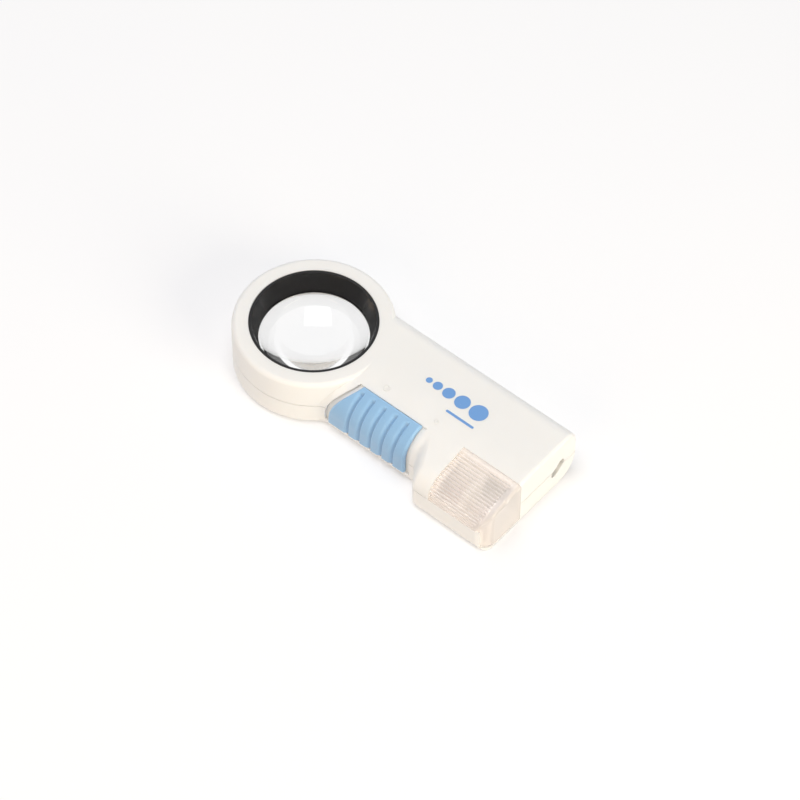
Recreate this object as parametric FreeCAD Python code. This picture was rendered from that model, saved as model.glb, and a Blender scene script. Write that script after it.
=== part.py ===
import FreeCAD, Part
import math
import os

# Low vision magnifier: a round lens head on a flat handle, with a reading lamp under the
# lens, a flashlight at the tail and one slide switch for both. Units are millimetres.
# The origin is on the lens axis in the flat bottom plane, +X runs from the lens to the
# tail, +Z is up through the lens, and the switch and the flashlight are on the -Y side.

V = FreeCAD.Vector

# ---- making the solids
SPAN = 200.0                # longer than the whole part
MARGIN = 5.0                # cutters reach this far past what they cut
LOFT_STEPS = 6
BOND = 0.2                  # a joined piece is sunk this deep into its neighbour
FIT = 0.05                  # between pieces pressed or glued together
AIR = 0.3                   # between pieces that must not touch

# ---- outside of the body
BODY_H = 19.0               # flat bottom to flat top
HEAD_R = 25.9               # round head
HEAD_TOP_R = 1.6            # rounding of the head's top edge
HEAD_BOTTOM_R = 2.2         # rounding of the head's bottom edge
TAIL_X = 89.8               # end face
FAR_Y = 20.2                # straight side of the handle
FAR_TOP_R = 4.5
FAR_BOTTOM_R = 8.5
GRIP_Y = -17.7              # side of the handle at the grip pad
GRIP_ROUND_R = 9.5          # rounding from the top down to that side
LAMP_Y = -24.2              # side of the lamp housing
LAMP_ROUND_R = 7.5
NEAR_BOTTOM_R = 2.5
SLOPE_Y = -4.0              # where the top starts to fall towards the near side
SLOPE_DEG = 10.0
SLOPE_BEND_R = 60.0         # gentle bend from the flat top into that slope
NECK_R = 6.0                # hollow curve between the head and the grip
SHOULDER_X = (55.5, 61.5)   # where the grip swells into the lamp housing
TAIL_EDGE_R = 1.2
TAIL_CORNER_R = 4.5
WALL = 1.8
SEAM_Z = 8.6                # the two shells part here
SEAM_GROOVE = (0.35, 0.25)  # depth and height
MIN_R = 0.3

# ---- lens and its seat
LENS_R = 19.25              # edge of the lens
LENS_VIEW_R = LENS_R - 1.65     # clear radius of the lens
BEZEL_R = LENS_R + 1.25     # black ring, outside
BEZEL_LIP = 0.9
BEZEL_LAND = 0.6            # upright part of the ring just above the lens
LENS_SEAT_Z = 12.0          # underside of the bezel's shoulder
LENS_EDGE_T = 2.1
LENS_FRONT_RISE = 4.0
LENS_BACK_RISE = 3.1
RETAINER_T = 1.2
PORT_R = LENS_VIEW_R + 0.7  # opening under the lens
PORT_DEPTH = 6.0
LENS_TUBE_R = LENS_R + 1.05     # outside of the lower shell's tube
TUBE_WALL = 1.4
DOME_EDGE = 0.2             # flat ring between the domes and the clear radius

# ---- cells, two AA side by side
CELL_R = 7.25
CELL_LENGTH = 50.5
CELL_NUB = (2.75, 1.0)      # radius and height of the positive nub
CELL_PITCH = 2 * CELL_R + 0.2
CELL_GAP = 0.35             # to the walls round the cells
SPRING_LENGTH = 3.0
SPRING_WIRE_R = 0.3
SPRING_R = (3.4, 2.9)       # coil radius at its wide and narrow ends
SPRING_TURNS = 3
PLATE_T = 0.4
PLATE_Z = (5.2, 15.0)       # bottom and top of the contact plates
PLATE_SIDE = 1.0            # a plate is this much narrower than the cell, each side
CONTACT_RIB_T = 1.2
CONTACT_RIB_REACH = 6.0     # from the near cell's axis towards the switch
BAY_X = 27.0                # head-side contact face

# ---- grip pad and switch
PAD_TOP_Y = -9.3
PAD_END_X = 52.2            # tail end of the pad
PAD_HEAD_X = 21.6           # foremost point of its curved head end
PAD_HEAD_R = 15.5           # radius of that curve in the side view
PAD_HEAD_Z = 5.0            # height of that foremost point
PAD_BOTTOM_Z = 3.3
PAD_PROUD = 0.9
PAD_RECESS = 0.9
PAD_GAP = 0.3
PAD_BACK = 1.8              # wall behind the recess
RIB_PITCH = 4.5
RIB_COUNT = 5
RIB_GROOVE = (0.9, 1.0)     # depth and width
RIB_FIRST = 3.7             # from the pad's tail end to the first groove, at its top
RIB_TOP = 1.5               # plain band above the grooves
RIB_LEAN = 0.06             # the grooves run back towards the head on the way down
TRAVEL = 1.5                # each way from off
STOP_GAP = 0.3
NECK_SIZE = (7.0, 2.6)      # carrier neck, along X and Z
NECK_BITE = 0.4             # how deep the neck sits in the pad
CARRIER = (17.0, 1.2)       # length and thickness
CARRIER_Z = (4.0, 9.2)
NOTCH_R = 0.55              # detent notches along the carrier's lower edge
WIPER = (5.0, 1.6, 0.25)    # half length, half height and thickness of its bridge
WIPER_FOOT = (3.6, 0.8, 0.5)    # place of each foot, half length and half height
STRIPS = ((-7.2, -5.0), (-4.6, -1.4), (1.4, 4.6), (5.0, 7.2))
STRIP = (0.15, 1.5)         # thickness and half height
LEAF = (7.0, 1.0, 0.25)     # detent spring: half length, width and thickness
LEAF_BUMP_R = 0.8
BOARD_T = 0.8
BOARD_X = (28.5, 64.0)
BOARD_Z = (3.0, 12.8)
BOARD_HOLE = (60.5, 10.6, 1.0)  # x, z and radius of its locating hole
RESISTOR = (54.5, 58.5, 1.0)    # both ends along X and the radius
RESISTOR_Z = (4.6, 8.0)

# ---- lamp housing
COVER_X = TAIL_X - 22.7
COVER_Y = -7.2
COVER_T = 1.4
COVER_GAP = 0.1
COVER_END_Z = 1.2           # the clear end wall reaches down to here
COVER_END_X = TAIL_X - 2.8
LEDGE_T = 1.0
LEDGE_W = 1.5               # from the edge of the cover's opening inwards
LEDGE_ROOT = 0.6            # and outwards, behind the shell
BAY_WALL_T = 0.8            # round the near cell, where it passes the lamp bay
LAMP_AXIS = (-15.9, 8.8)    # y and z of the flashlight's axis
REFLECTOR_R = 6.0
REFLECTOR_REAR_X = COVER_END_X - 8.6
REFLECTOR_T = 0.6
REFLECTOR_STEPS = 8
REFLECTOR_RIM = (1.0, 0.7)  # length of the straight front and thickness of its flange
REFLECTOR_SET_BACK = 1.3    # behind the clear end wall
LED_R = 2.5
LED_LENGTH = 8.6
LED_FLANGE = (2.9, 1.0)
LED_BACK = 2.8              # flange behind the reflector's rear edge
HOLDER_T = 1.75
HOLDER_RISE = 6.0           # top of the holder above the lamp's axis
READING_LED_R = 1.5
READING_LED_LENGTH = 5.3
READING_LED_TILT = 25.0
READING_LED_TIP = (0.7, 2.9)    # beyond the lens opening, and height
READING_FLANGE = (0.4, 0.9)     # how far it stands out, and thickness
SLEEVE_T = 0.8
SLEEVE_LENGTH = 1.95

# ---- battery door
DOOR_X = (29.3, 78.7)
DOOR_GAP = 0.3
DOOR_FLUSH = 0.15           # how far the door lies inside the bottom plane
DOOR_T = 1.6
DOOR_SIDE_DEG = -20.0       # the door wraps the rounded side up to this angle
TAB = (1.9, 1.8, 1.0)       # hook tabs: reach under the floor, root and thickness
TAB_WIDTHS = (3.0, 2.2)
GRIP_GROOVE = (0.7, 9.0)    # finger grooves: radius and length
GRIP_GROOVE_PITCH = 2.0

# ---- fasteners and strap slot
SCREWS = [(TAIL_X - 5.6, 13.2), (65.0, -18.6), (22.6, 14.8), (20.9, -13.4)]
SCREW_R = 0.95
SCREW_HEAD = (2.1, 1.4)
SCREW_LENGTH = 10.0
SCREW_SINK = 1.0            # depth of the head below the bottom
SCREW_CROSS = (1.3, 0.25, 0.7)  # arm, half width and depth of the cross recess
BOSS_R = 2.9
STRAP_SLOT = (7.0, 3.0, 3.2)    # length, width and depth
STRAP_Y = 11.0
STRAP_Z = 8.6
STRAP_TILT = 36.0
STRAP_BAR_R = 0.7
STRAP_BAR_BACK = 1.7        # from the end face to the bar's axis
STRAP_BAR_BITE = 0.6        # each end of the bar in the shell

# ---- leads
READING_LEADS = ((-1, 1.05, 3.6), (1, 0.55, 5.6))   # side, gap to the rib, end height
READING_LEAD_R = 0.25
LAMP_LEAD_R = 0.3
LEAD_BEND = 0.8

# ---- places that follow from the sizes above
CELL_Z = DOOR_FLUSH + DOOR_T + AIR + CELL_R
FAR_CELL_Y = FAR_Y - WALL - CELL_GAP - CELL_R
NEAR_CELL_Y = FAR_CELL_Y - CELL_PITCH
BAY_END_X = BAY_X + CELL_LENGTH + SPRING_LENGTH
BOARD_Y = NEAR_CELL_Y - CELL_R - CELL_GAP
BAY_MID_Y = (NEAR_CELL_Y + FAR_CELL_Y) / 2.0
BOARD_FACE_Y = BOARD_Y - BOARD_T
CARRIER_Y = GRIP_Y + PAD_RECESS + PAD_BACK + PAD_GAP
WIPER_Z = SEAM_Z - 2.0
LENS_BOTTOM_Z = LENS_SEAT_Z - LENS_EDGE_T - RETAINER_T
LED_BASE_X = REFLECTOR_REAR_X - LED_BACK
LAMP_WALL_END = REFLECTOR_REAR_X + 0.4
PAD_MID_X = (PAD_END_X + PAD_HEAD_X + PAD_HEAD_R / 2.0) / 2.0


def box(x0, x1, y0, y1, z0, z1):
    return Part.makeBox(x1 - x0, y1 - y0, z1 - z0, V(x0, y0, z0))


def slab(z0, z1):
    return box(-SPAN, SPAN, -SPAN, SPAN, z0, z1)


def post(r, x, y, z0, z1):
    return Part.makeCylinder(r, z1 - z0, V(x, y, z0), V(0, 0, 1))


def rod(r, x0, x1, y, z):
    return Part.makeCylinder(r, x1 - x0, V(x0, y, z), V(1, 0, 0))


def tube_ring(r_in, r_out, z0, z1):
    return post(r_out, 0, 0, z0, z1).cut(post(r_in, 0, 0, z0 - MARGIN, z1 + MARGIN))


def line(p, q):
    return Part.LineSegment(p, q).toShape()


def arc(centre, r, start_deg, end_deg, plane):
    """Arc edge from three points on it; plane turns (across, up) into a point."""
    pts = []
    for deg in (start_deg, (start_deg + end_deg) / 2.0, end_deg):
        a = math.radians(deg)
        pts.append(plane(centre[0] + r * math.cos(a), centre[1] + r * math.sin(a)))
    return Part.Arc(*pts).toShape()


def save(name, shape):
    shape.exportStep("parts/" + name + ".step")
    print(name, len(shape.Solids), round(shape.Volume, 2), shape.isValid())


def section(x, inset, near_y, near_r):
    """Handle outline across X, drawn inside the outer surface by inset."""
    def at(y, z):
        return V(x, y, z)
    top, bottom = BODY_H - inset, inset
    far, near = FAR_Y - inset, near_y + inset
    r_ft = max(FAR_TOP_R - inset, MIN_R)
    r_fb = max(FAR_BOTTOM_R - inset, MIN_R)
    r_nb = max(NEAR_BOTTOM_R - inset, MIN_R)
    r_nt = max(near_r - inset, MIN_R)
    slope = math.radians(SLOPE_DEG)
    crease = SLOPE_Y + inset * math.tan(slope / 2.0)
    corner_z = top - (crease - near) * math.tan(slope)
    t = r_nt * math.tan(math.radians(90.0 - SLOPE_DEG) / 2.0)
    start = (near + t * math.cos(slope), corner_z + t * math.sin(slope))
    bend = SLOPE_BEND_R - inset
    reach = bend * math.tan(slope / 2.0)
    bent = at(crease - reach * math.cos(slope), top - reach * math.sin(slope))
    return Part.Wire([
        line(at(far - r_ft, top), at(crease + reach, top)),
        arc((crease + reach, top - bend), bend, 90.0, 90.0 + SLOPE_DEG, at),
        line(bent, at(*start)),
        arc((near + r_nt, corner_z - t), r_nt, 90.0 + SLOPE_DEG, 180.0, at),
        line(at(near, corner_z - t), at(near, bottom + r_nb)),
        arc((near + r_nb, bottom + r_nb), r_nb, 180.0, 270.0, at),
        line(at(near + r_nb, bottom), at(far - r_fb, bottom)),
        arc((far - r_fb, bottom + r_fb), r_fb, 270.0, 360.0, at),
        line(at(far, bottom + r_fb), at(far, top - r_ft)),
        arc((far - r_ft, top - r_ft), r_ft, 0.0, 90.0, at),
    ])


def run(x0, x1, inset, near_y, near_r):
    return Part.Face(section(x0, inset, near_y, near_r)).extrude(V(x1 - x0, 0, 0))


def head(inset):
    """Round head as a turned solid."""
    def at(r, z):
        return V(r, 0, z)
    r, top, bottom = HEAD_R - inset, BODY_H - inset, inset
    rt = max(HEAD_TOP_R - inset, MIN_R)
    rb = max(HEAD_BOTTOM_R - inset, MIN_R)
    outline = Part.Wire([
        line(at(0, bottom), at(r - rb, bottom)),
        arc((r - rb, bottom + rb), rb, 270.0, 360.0, at),
        line(at(r, bottom + rb), at(r, top - rt)),
        arc((r - rt, top - rt), rt, 0.0, 90.0, at),
        line(at(r - rt, top), at(0, top)),
        line(at(0, top), at(0, bottom)),
    ])
    return Part.Face(outline).revolve(V(0, 0, 0), V(0, 0, 1), 360)


def handle(inset):
    """Handle from inside the head to the tail."""
    neck_end = math.sqrt((HEAD_R + NECK_R) ** 2 - (GRIP_Y - NECK_R) ** 2)
    neck_start = neck_end * HEAD_R / (HEAD_R + NECK_R)
    neck = []
    for i in range(LOFT_STEPS + 1):
        x = neck_start + (neck_end - neck_start) * i / LOFT_STEPS
        y = GRIP_Y - NECK_R + math.sqrt(NECK_R ** 2 - (neck_end - x) ** 2)
        neck.append((x, y))
    root = run(neck_start - MARGIN, neck_start, inset, neck[0][1], GRIP_ROUND_R)
    flare = Part.makeLoft([section(x, inset, y, GRIP_ROUND_R) for x, y in neck], True)
    grip = run(neck_end, SHOULDER_X[0], inset, GRIP_Y, GRIP_ROUND_R)
    swell = []
    for i in range(LOFT_STEPS + 1):
        t = i / LOFT_STEPS
        s = 3 * t ** 2 - 2 * t ** 3
        x = SHOULDER_X[0] + (SHOULDER_X[1] - SHOULDER_X[0]) * t
        y = GRIP_Y + (LAMP_Y - GRIP_Y) * s
        r = GRIP_ROUND_R + (LAMP_ROUND_R - GRIP_ROUND_R) * s
        swell.append(section(x, inset, y, r))
    shoulder = Part.makeLoft(swell, True)
    end = TAIL_X - inset
    edge = max(TAIL_EDGE_R - inset, MIN_R)
    lamp = run(SHOULDER_X[1], end - edge, inset, LAMP_Y, LAMP_ROUND_R)
    tips = []
    for deg in (0.0, 25.0, 50.0, 75.0):
        a = math.radians(deg)
        tips.append(section(end - edge + edge * math.sin(a),
                            inset + edge * (1 - math.cos(a)), LAMP_Y, LAMP_ROUND_R))
    tail = Part.makeLoft(tips, True)
    whole = root.multiFuse([flare, grip, shoulder, lamp, tail]).removeSplitter()
    r = TAIL_CORNER_R - inset
    cx, cy = TAIL_X - TAIL_CORNER_R, LAMP_Y + TAIL_CORNER_R
    corner = box(cx, TAIL_X + MARGIN, LAMP_Y - MARGIN, cy, -MARGIN, BODY_H + MARGIN)
    return whole.cut(corner.cut(post(max(r, MIN_R), cx, cy, -SPAN, SPAN)))


BODIES = {}


def body(inset):
    """The whole outside shape, drawn inside itself by inset."""
    if inset not in BODIES:
        BODIES[inset] = head(inset).fuse(handle(inset)).removeSplitter()
    return BODIES[inset]


def skin(outer, inner, region):
    """The layer between two insets, kept only inside a region."""
    return body(outer).common(region).cut(body(inner))



def pad_outline(grow, gap):
    """Side outline of the grip pad; grow moves its ends outwards, gap its top and bottom."""
    def at(x, z):
        return V(x, PAD_TOP_Y + gap, z)
    cx, cz, bottom_z = PAD_HEAD_X + PAD_HEAD_R - grow, PAD_HEAD_Z, PAD_BOTTOM_Z - gap
    head_x, end_x = cx - PAD_HEAD_R, PAD_END_X + grow
    crown, top = cz + PAD_HEAD_R, cz + PAD_HEAD_R + BODY_H
    outline = Part.Wire([
        line(at(head_x, bottom_z), at(end_x, bottom_z)),
        line(at(end_x, bottom_z), at(end_x, top)),
        line(at(end_x, top), at(cx, top)),
        line(at(cx, top), at(cx, crown)),
        arc((cx, cz), PAD_HEAD_R, 90.0, 180.0, at),
        line(at(head_x, cz), at(head_x, bottom_z)),
    ])
    return Part.Face(outline).extrude(V(0, LAMP_Y - PAD_TOP_Y - MARGIN, 0))


def grip_layer(outer, inner):
    """A layer over the grip's own section, long enough for the pad and its travel."""
    x0, x1 = PAD_HEAD_X - MARGIN, PAD_END_X + MARGIN
    layer = run(x0, x1, outer, GRIP_Y, GRIP_ROUND_R)
    return layer.cut(run(x0 - MARGIN, x1 + MARGIN, inner, GRIP_Y, GRIP_ROUND_R))


def neck_prism(clear):
    """Carrier neck, or with clear and the travel added, the slot that it slides in."""
    hx = NECK_SIZE[0] / 2.0 + (TRAVEL + STOP_GAP if clear else 0.0)
    z0 = SEAM_Z - PAD_GAP - NECK_SIZE[1]
    z1 = SEAM_Z - (0.0 if clear else PAD_GAP)
    z0 -= PAD_GAP if clear else 0.0
    y0, y1 = GRIP_Y + PAD_RECESS - PAD_GAP - NECK_BITE, CARRIER_Y
    if clear:
        y0, y1 = y0 - MARGIN, y1 + BOND
    return box(PAD_MID_X - hx, PAD_MID_X + hx, y0, y1, z0, z1)


def cover_region(gap):
    """Space taken by the clear lamp cover; gap draws the edges inwards."""
    end_x, near, far = TAIL_X + MARGIN, LAMP_Y - MARGIN, COVER_Y - gap
    top = box(COVER_X + gap, end_x, near, far, SEAM_Z + gap, SPAN)
    end = box(COVER_END_X + gap, end_x, near, far, COVER_END_Z + gap, SPAN)
    return top.fuse(end)


def door_prism(gap):
    """Through the floor and up the rounded side; gap draws the edges inwards."""
    cy, cz = FAR_Y - FAR_BOTTOM_R, FAR_BOTTOM_R
    a = math.radians(DOOR_SIDE_DEG)
    reach = FAR_BOTTOM_R + MARGIN
    down = gap / math.cos(a)
    near = NEAR_CELL_Y - CELL_R - CELL_GAP + gap
    pts = [(near, -MARGIN), (near, CELL_Z - CELL_R), (cy, cz - down),
           (cy + reach * math.cos(a), cz + reach * math.sin(a) - down),
           (FAR_Y + MARGIN, -MARGIN)]
    x0, x1 = DOOR_X[0] - DOOR_GAP + gap, DOOR_X[1] + DOOR_GAP - gap
    face = Part.Face(Part.makePolygon([V(x0, y, z) for y, z in pts + pts[:1]]))
    return face.extrude(V(x1 - x0, 0, 0))


def screw_boss(x, y, z0, z1, hole_r):
    return post(BOSS_R, x, y, z0, z1), post(hole_r, x, y, z0 - MARGIN, z1)


def reading_axis():
    """Tip and direction of the small lamp that lights the page under the lens."""
    a = math.radians(READING_LED_TILT)
    aim = V(math.cos(a), 0, math.sin(a))
    return V(PORT_R + READING_LED_TIP[0], 0, READING_LED_TIP[1]), aim


def shells():
    """Both halves of the housing, cut from one hollow shape."""
    x0 = PAD_HEAD_X - TRAVEL - STOP_GAP - PAD_BACK
    x1 = PAD_END_X + TRAVEL + STOP_GAP + PAD_BACK
    backing = box(x0, x1, LAMP_Y, PAD_TOP_Y + PAD_BACK, CELL_Z, SPAN)
    backing = backing.fuse(box(x0, x1, LAMP_Y, BOARD_FACE_Y - AIR, -SPAN, CELL_Z))
    hollow = body(0.0).cut(body(WALL)).fuse(skin(0.0, PAD_RECESS + PAD_BACK, backing))
    # recess for the sliding pad
    recess = grip_layer(-MARGIN, PAD_RECESS).common(pad_outline(TRAVEL + STOP_GAP, PAD_GAP))
    hollow = hollow.cut(recess).cut(neck_prism(True))
    upper, lower = hollow.common(slab(SEAM_Z, SPAN)), hollow.common(slab(-SPAN, SEAM_Z))
    return upper, lower


def upper_shell(upper):
    """Top half with the lens barrel, screw posts and the ledge under the lamp cover."""
    barrel_r = BEZEL_R + COVER_GAP + TUBE_WALL
    barrel = tube_ring(BEZEL_R + COVER_GAP, barrel_r, SEAM_Z, BODY_H - WALL + BOND)
    shape = upper.fuse(barrel).cut(post(BEZEL_R + COVER_GAP, 0, 0, 0, SPAN))
    depth, height = SEAM_GROOVE
    shape = shape.cut(slab(SEAM_Z, SEAM_Z + height).cut(body(depth)))
    roof = body(WALL - BOND)
    for x, y in SCREWS:
        pillar, hole = screw_boss(x, y, SEAM_Z, BODY_H, SCREW_R + FIT)
        top = SCREW_SINK + SCREW_HEAD[1] + SCREW_LENGTH + AIR
        shape = shape.fuse(pillar.common(roof)).cut(hole.common(slab(0, top)))
    # ledge that the cover is bonded to, and the wall between cell and lamp
    shape = shape.cut(cover_region(0.0))
    edge = box(COVER_X - LEDGE_ROOT, TAIL_X, LAMP_Y, COVER_Y + LEDGE_ROOT, SEAM_Z, SPAN)
    window = box(COVER_X + LEDGE_W, TAIL_X, LAMP_Y, COVER_Y - LEDGE_W, 0, SPAN)
    ledge = skin(COVER_T, COVER_T + LEDGE_T, edge).cut(window)
    wall_r = CELL_R + CELL_GAP - FIT
    y, z = NEAR_CELL_Y, CELL_Z
    x0, x1, edge_y = COVER_X - WALL, LAMP_WALL_END, COVER_Y - LEDGE_W
    wall = rod(wall_r + BAY_WALL_T, x0, x1, y, z)
    wall = wall.common(box(0, SPAN, LAMP_Y, edge_y + 2 * BOND, SEAM_Z, SPAN))
    web = box(x0, x1, edge_y, COVER_Y + LEDGE_ROOT, SEAM_Z, SPAN)
    behind_board = box(0, SPAN, BOARD_FACE_Y, SPAN, SEAM_Z, SPAN)
    wall = wall.fuse(web).common(behind_board).common(body(COVER_T)).fuse(ledge)
    shape = shape.fuse(wall.cut(rod(wall_r, 0, SPAN, y, z)))
    return shape.cut(strap_slot()).cut(strap_bar()).removeSplitter()


def lower_shell(lower):
    """Bottom half with the lens tube, door opening, ribs, screw holes and strap slot."""
    shape = lower.fuse(tube_ring(LENS_VIEW_R, LENS_TUBE_R, 0.0, LENS_BOTTOM_Z))
    shape = shape.cut(post(PORT_R, 0, 0, -MARGIN, PORT_DEPTH))
    shape = shape.cut(post(LENS_VIEW_R, 0, 0, -MARGIN, SPAN))
    shape = shape.cut(door_prism(0.0)).cut(cover_region(0.0))
    tip, aim = reading_axis()
    bore = READING_LED_LENGTH + MARGIN
    shape = shape.cut(Part.makeCylinder(READING_LED_R + FIT, bore, tip - aim * AIR * 10, aim))
    for x, y in SCREWS:
        tower, hole = screw_boss(x, y, 0, SEAM_Z, SCREW_R + BOND)
        sink = post(SCREW_HEAD[0] + AIR, x, y, -MARGIN, SCREW_SINK + SCREW_HEAD[1])
        shape = shape.fuse(tower.common(body(WALL - BOND))).cut(hole).cut(sink)
    # ribs that carry the contacts at both ends of the cells, and the lamp bay wall
    floor, near = WALL - BOND, NEAR_CELL_Y - CONTACT_RIB_REACH
    for x in (BAY_X - PLATE_T - CONTACT_RIB_T, BAY_END_X + PLATE_T):
        rib = box(x, x + CONTACT_RIB_T, near, FAR_Y, floor, SEAM_Z)
        shape = shape.fuse(rib.common(body(floor)))
    wall_x = BOARD_X[1] + BOARD_T + AIR
    shape = shape.fuse(box(wall_x, LAMP_WALL_END, BOARD_Y - BOARD_T, BOARD_Y, floor, SEAM_Z))
    return shape.cut(strap_slot()).cut(strap_bar()).removeSplitter()


def strap_slot():
    """Oval pocket in the end face, leaning with the corner of the handle."""
    half, r = STRAP_SLOT[0] / 2.0 - STRAP_SLOT[1] / 2.0, STRAP_SLOT[1] / 2.0
    x0 = TAIL_X - STRAP_SLOT[2]
    x1 = TAIL_X + MARGIN
    parts = [rod(r, x0, x1, STRAP_Y + s * half, STRAP_Z) for s in (-1, 1)]
    mid = box(x0, x1, STRAP_Y - half, STRAP_Y + half, STRAP_Z - r, STRAP_Z + r)
    shape = mid.fuse(parts[0]).fuse(parts[1])
    shape.rotate(V(0, STRAP_Y, STRAP_Z), V(1, 0, 0), STRAP_TILT)
    return shape


def strap_bar():
    """Short pin across the strap slot."""
    x = TAIL_X - STRAP_BAR_BACK
    reach = STRAP_SLOT[1] / 2.0 + STRAP_BAR_BITE
    bar = Part.makeCylinder(STRAP_BAR_R, 2 * reach, V(x, STRAP_Y, STRAP_Z - reach), V(0, 0, 1))
    bar.rotate(V(0, STRAP_Y, STRAP_Z), V(1, 0, 0), STRAP_TILT)
    return bar


def turned(points, axis):
    """Solid of revolution from (along, radius) points about axis z at the origin, or +X."""
    if axis == "z":
        pts = [V(r, 0, a) for a, r in points]
        face = Part.Face(Part.makePolygon(pts + pts[:1]))
        return face.revolve(V(0, 0, 0), V(0, 0, 1), 360)
    y, z = LAMP_AXIS
    pts = [V(a, y, z + r) for a, r in points]
    face = Part.Face(Part.makePolygon(pts + pts[:1]))
    return face.revolve(V(0, y, z), V(1, 0, 0), 360)


def lens_bezel():
    """Black ring: thin lip at the top, then a cone down to the lens."""
    bottom, lip = LENS_BOTTOM_Z, BEZEL_R - BEZEL_LIP
    return turned([(bottom, BEZEL_R), (BODY_H, BEZEL_R), (BODY_H, lip),
                   (LENS_SEAT_Z + BEZEL_LAND, LENS_VIEW_R), (LENS_SEAT_Z, LENS_VIEW_R),
                   (LENS_SEAT_Z, LENS_R + FIT), (bottom, LENS_R + FIT)], "z")


def dome(r, rise, z, up):
    """Spherical cap of base radius r on the plane z."""
    ball = (r ** 2 + rise ** 2) / (2.0 * rise)
    centre = z + (rise - ball) * up
    cap = Part.makeSphere(ball, V(0, 0, centre))
    z0, z1 = (z, z + rise + MARGIN) if up > 0 else (z - rise - MARGIN, z)
    return cap.common(post(r + MARGIN, 0, 0, z0, z1))


def lens():
    """Double convex lens with a flat rim."""
    low = LENS_SEAT_Z - LENS_EDGE_T
    rim = post(LENS_R, 0, 0, low, LENS_SEAT_Z)
    front = dome(LENS_VIEW_R - DOME_EDGE, LENS_FRONT_RISE, LENS_SEAT_Z, 1)
    back = dome(LENS_VIEW_R - DOME_EDGE, LENS_BACK_RISE, low, -1)
    return rim.fuse(front).fuse(back).removeSplitter()


def lens_retainer():
    return tube_ring(LENS_VIEW_R, LENS_R, LENS_BOTTOM_Z, LENS_BOTTOM_Z + RETAINER_T)


def lamp_cover():
    """Clear cap over the lamp bay: top, side and end wall in one piece."""
    return skin(0.0, COVER_T, cover_region(COVER_GAP)).removeSplitter()


def reflector():
    """Parabolic cup with a front flange and a rear collar round the lamp."""
    front = TAIL_X - COVER_T - REFLECTOR_SET_BACK
    r0, r1 = LED_R + 3 * FIT, REFLECTOR_R - REFLECTOR_T
    depth = front - REFLECTOR_RIM[0] - REFLECTOR_REAR_X
    k = (r1 ** 2 - r0 ** 2) / depth
    inner = []
    for i in range(REFLECTOR_STEPS + 1):
        x = REFLECTOR_REAR_X + depth * i / REFLECTOR_STEPS
        inner.append((x, math.sqrt(r0 ** 2 + k * (x - REFLECTOR_REAR_X))))
    outer = [(x, r + REFLECTOR_T) for x, r in reversed(inner[:-1])]
    flange = front - REFLECTOR_RIM[1]
    rim = [(front, r1 + 2 * FIT), (front, REFLECTOR_R), (flange, REFLECTOR_R)]
    return turned(inner + rim + outer, "x")


def flashlight_led():
    """Five millimetre lamp that looks out of the tail."""
    y, z = LAMP_AXIS
    base, nose = LED_BASE_X, LED_BASE_X + LED_LENGTH - LED_R
    shape = rod(LED_R, base, nose, y, z).fuse(Part.makeSphere(LED_R, V(nose, y, z)))
    shape = shape.fuse(rod(LED_FLANGE[0], base, base + LED_FLANGE[1], y, z))
    return shape.removeSplitter()


def led_holder():
    """Plate across the lamp bay that carries the lamp and the reflector's collar."""
    y, z = LAMP_AXIS
    x1 = REFLECTOR_REAR_X - FIT
    x0 = x1 - HOLDER_T
    plate = box(x0, x1, LAMP_Y, BOARD_FACE_Y - FIT, WALL, z + HOLDER_RISE)
    return plate.common(body(WALL + FIT)).cut(rod(LED_R + FIT, 0, SPAN, y, z))


def reading_led():
    tip, aim = reading_axis()
    r, length = READING_LED_R, READING_LED_LENGTH
    barrel = Part.makeCylinder(r, length - r, tip + aim * r, aim)
    wide, thick = READING_FLANGE
    flange = Part.makeCylinder(r + wide, thick, tip + aim * (length - thick), aim)
    return barrel.fuse(Part.makeSphere(r, tip + aim * r)).fuse(flange).removeSplitter()


def reading_led_sleeve():
    """Bush that holds the reading lamp behind the lens tube."""
    tip, aim = reading_axis()
    start = tip + aim * (READING_LED_LENGTH - READING_FLANGE[1] - FIT - SLEEVE_LENGTH)
    outer = Part.makeCylinder(READING_LED_R + SLEEVE_T, SLEEVE_LENGTH, start, aim)
    shape = outer.cut(Part.makeCylinder(READING_LED_R + FIT, SPAN, tip, aim))
    return shape.cut(post(LENS_TUBE_R + FIT, 0, 0, -SPAN, SPAN))


def leaning_slot(x, width):
    """Space for one groove of the pad, at x where it meets the body's top."""
    foot, low = x - RIB_LEAN * (BODY_H + MARGIN), -MARGIN
    y = LAMP_Y - MARGIN
    pts = [V(x, y, BODY_H), V(x + width, y, BODY_H), V(foot + width, y, low), V(foot, y, low)]
    slot = Part.Face(Part.makePolygon(pts + pts[:1])).extrude(V(0, PAD_TOP_Y - RIB_TOP - y, 0))
    slot.translate(V(-width / 2.0, 0, 0))
    return slot


def grip_pad():
    """Ribbed soft pad that slides in the recess."""
    layer = grip_layer(-PAD_PROUD, PAD_RECESS - PAD_GAP)
    pad = layer.common(pad_outline(0.0, 0.0))
    depth, width = RIB_GROOVE
    cutter = grip_layer(-PAD_PROUD - MARGIN, depth - PAD_PROUD)
    for i in range(RIB_COUNT):
        x = PAD_END_X - RIB_FIRST - RIB_PITCH * i
        pad = pad.cut(cutter.common(leaning_slot(x, width)))
    return pad.cut(neck_prism(False)).removeSplitter()


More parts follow.
